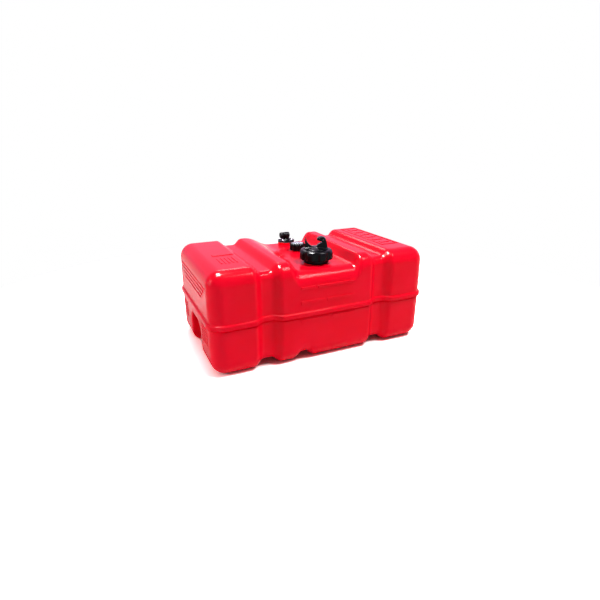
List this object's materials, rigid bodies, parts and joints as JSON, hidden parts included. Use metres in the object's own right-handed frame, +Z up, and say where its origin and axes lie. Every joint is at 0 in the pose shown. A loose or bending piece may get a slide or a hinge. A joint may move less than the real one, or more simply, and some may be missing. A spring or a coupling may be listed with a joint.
{
  "type": "outboard fuel tank",
  "caption": "Portable moulded plastic fuel tank for an outboard motor, with strap grooves, hand holds, a vented filler cap, a float gauge and a swivelling hose outlet.",
  "frame": {"origin": "middle of the base, at the height that the tank rests on", "axes": "+X along the length, +Y from the filler cap towards the hose outlet, +Z up"},
  "size_m": [0.609, 0.361, 0.3025],
  "materials": {
    "red_plastic": "semi-gloss red moulded polyethylene",
    "black_plastic": "black moulded nylon, slightly shiny",
    "seal_rubber": "matt black fuel-proof rubber",
    "clear_lens": "clear moulded lens",
    "dial_plastic": "white dial",
    "pointer_plastic": "red pointer",
    "plated_steel": "bright plated steel",
    "float_foam": "dark closed-cell float",
    "tube_plastic": "natural white plastic"
  },
  "bodies": {
    "tank": {"tank_body": "red_plastic", "gauge_gasket": "seal_rubber", "gauge_head": "black_plastic", "gauge_dial": "dial_plastic", "gauge_lens": "clear_lens", "gauge_ring_nut": "black_plastic", "guide_rod_left": "plated_steel", "guide_rod_right": "plated_steel", "gauge_foot": "black_plastic", "pickup_gasket": "seal_rubber", "pickup_flange": "black_plastic", "pickup_screw_1": "plated_steel", "pickup_screw_2": "plated_steel", "pickup_screw_3": "plated_steel", "pickup_screw_4": "plated_steel", "dip_tube_nipple": "black_plastic", "dip_tube": "tube_plastic", "pickup_strainer": "tube_plastic", "check_spring": "plated_steel"},
    "cap_seal": {"cap_gasket": "seal_rubber"},
    "cap_ring": {"cap_slip_ring": "tube_plastic"},
    "cap": {"cap_insert": "black_plastic", "cap_grip_shell": "black_plastic"},
    "vent_stem": {"vent_seal": "seal_rubber"},
    "vent_knob": {"vent_dial": "black_plastic"},
    "float": {"gauge_float": "float_foam", "float_driver": "tube_plastic"},
    "gauge_works": {"gauge_spindle": "plated_steel", "gauge_pointer": "pointer_plastic"},
    "outlet": {"outlet_elbow": "black_plastic", "elbow_o_ring": "seal_rubber"},
    "dust_cap": {"outlet_dust_cap": "black_plastic"},
    "check_valve": {"check_ball": "plated_steel"}
  },
  "joints": [
    {"name": "cap_lift", "type": "slide", "parent": "tank", "child": "cap_seal", "axis": [0, 0, 1], "range_m": [0, 0.08]},
    {"name": "cap_rise", "type": "slide", "parent": "cap_seal", "child": "cap_ring", "axis": [0, 0, 1], "range_m": [0, 0.0105]},
    {"name": "cap_turn", "type": "hinge", "parent": "cap_ring", "child": "cap", "pos_m": [0.0045, -0.095, 0.234], "axis": [0, 0, 1], "range_deg": [0, 630]},
    {"name": "vent_rise", "type": "slide", "parent": "cap", "child": "vent_stem", "axis": [0, 0, 1], "range_m": [0, 0.0015]},
    {"name": "vent_turn", "type": "hinge", "parent": "vent_stem", "child": "vent_knob", "pos_m": [0.0045, -0.095, 0.271], "axis": [0, 0, 1], "range_deg": [0, 180]},
    {"name": "float_rise", "type": "slide", "parent": "tank", "child": "float", "axis": [0, 0, 1], "range_m": [0, 0.17]},
    {"name": "gauge_turn", "type": "hinge", "parent": "tank", "child": "gauge_works", "pos_m": [0.012, 0.037, 0.234], "axis": [0, 0, 1], "range_deg": [-180, 0]},
    {"name": "outlet_turn", "type": "hinge", "parent": "tank", "child": "outlet", "pos_m": [0.017, 0.13, 0.245], "axis": [0, 0, 1], "continuous": true},
    {"name": "dust_cap_pull", "type": "slide", "parent": "outlet", "child": "dust_cap", "axis": [-1, 0, 0], "range_m": [0, 0.04]},
    {"name": "check_valve_lift", "type": "slide", "parent": "tank", "child": "check_valve", "axis": [0, 0, 1], "range_m": [0, 0.003], "stiffness_N_per_m": 5, "springref_m": -0.004, "deforming": ["check_spring"]}
  ],
  "couplings": [
    {"joint": "cap_turn", "follows": "cap_rise", "rad_per_m": 1047.2},
    {"joint": "vent_turn", "follows": "vent_rise", "rad_per_m": 2094.4},
    {"joint": "gauge_turn", "follows": "float_rise", "rad_per_m": -18.48}
  ]
}
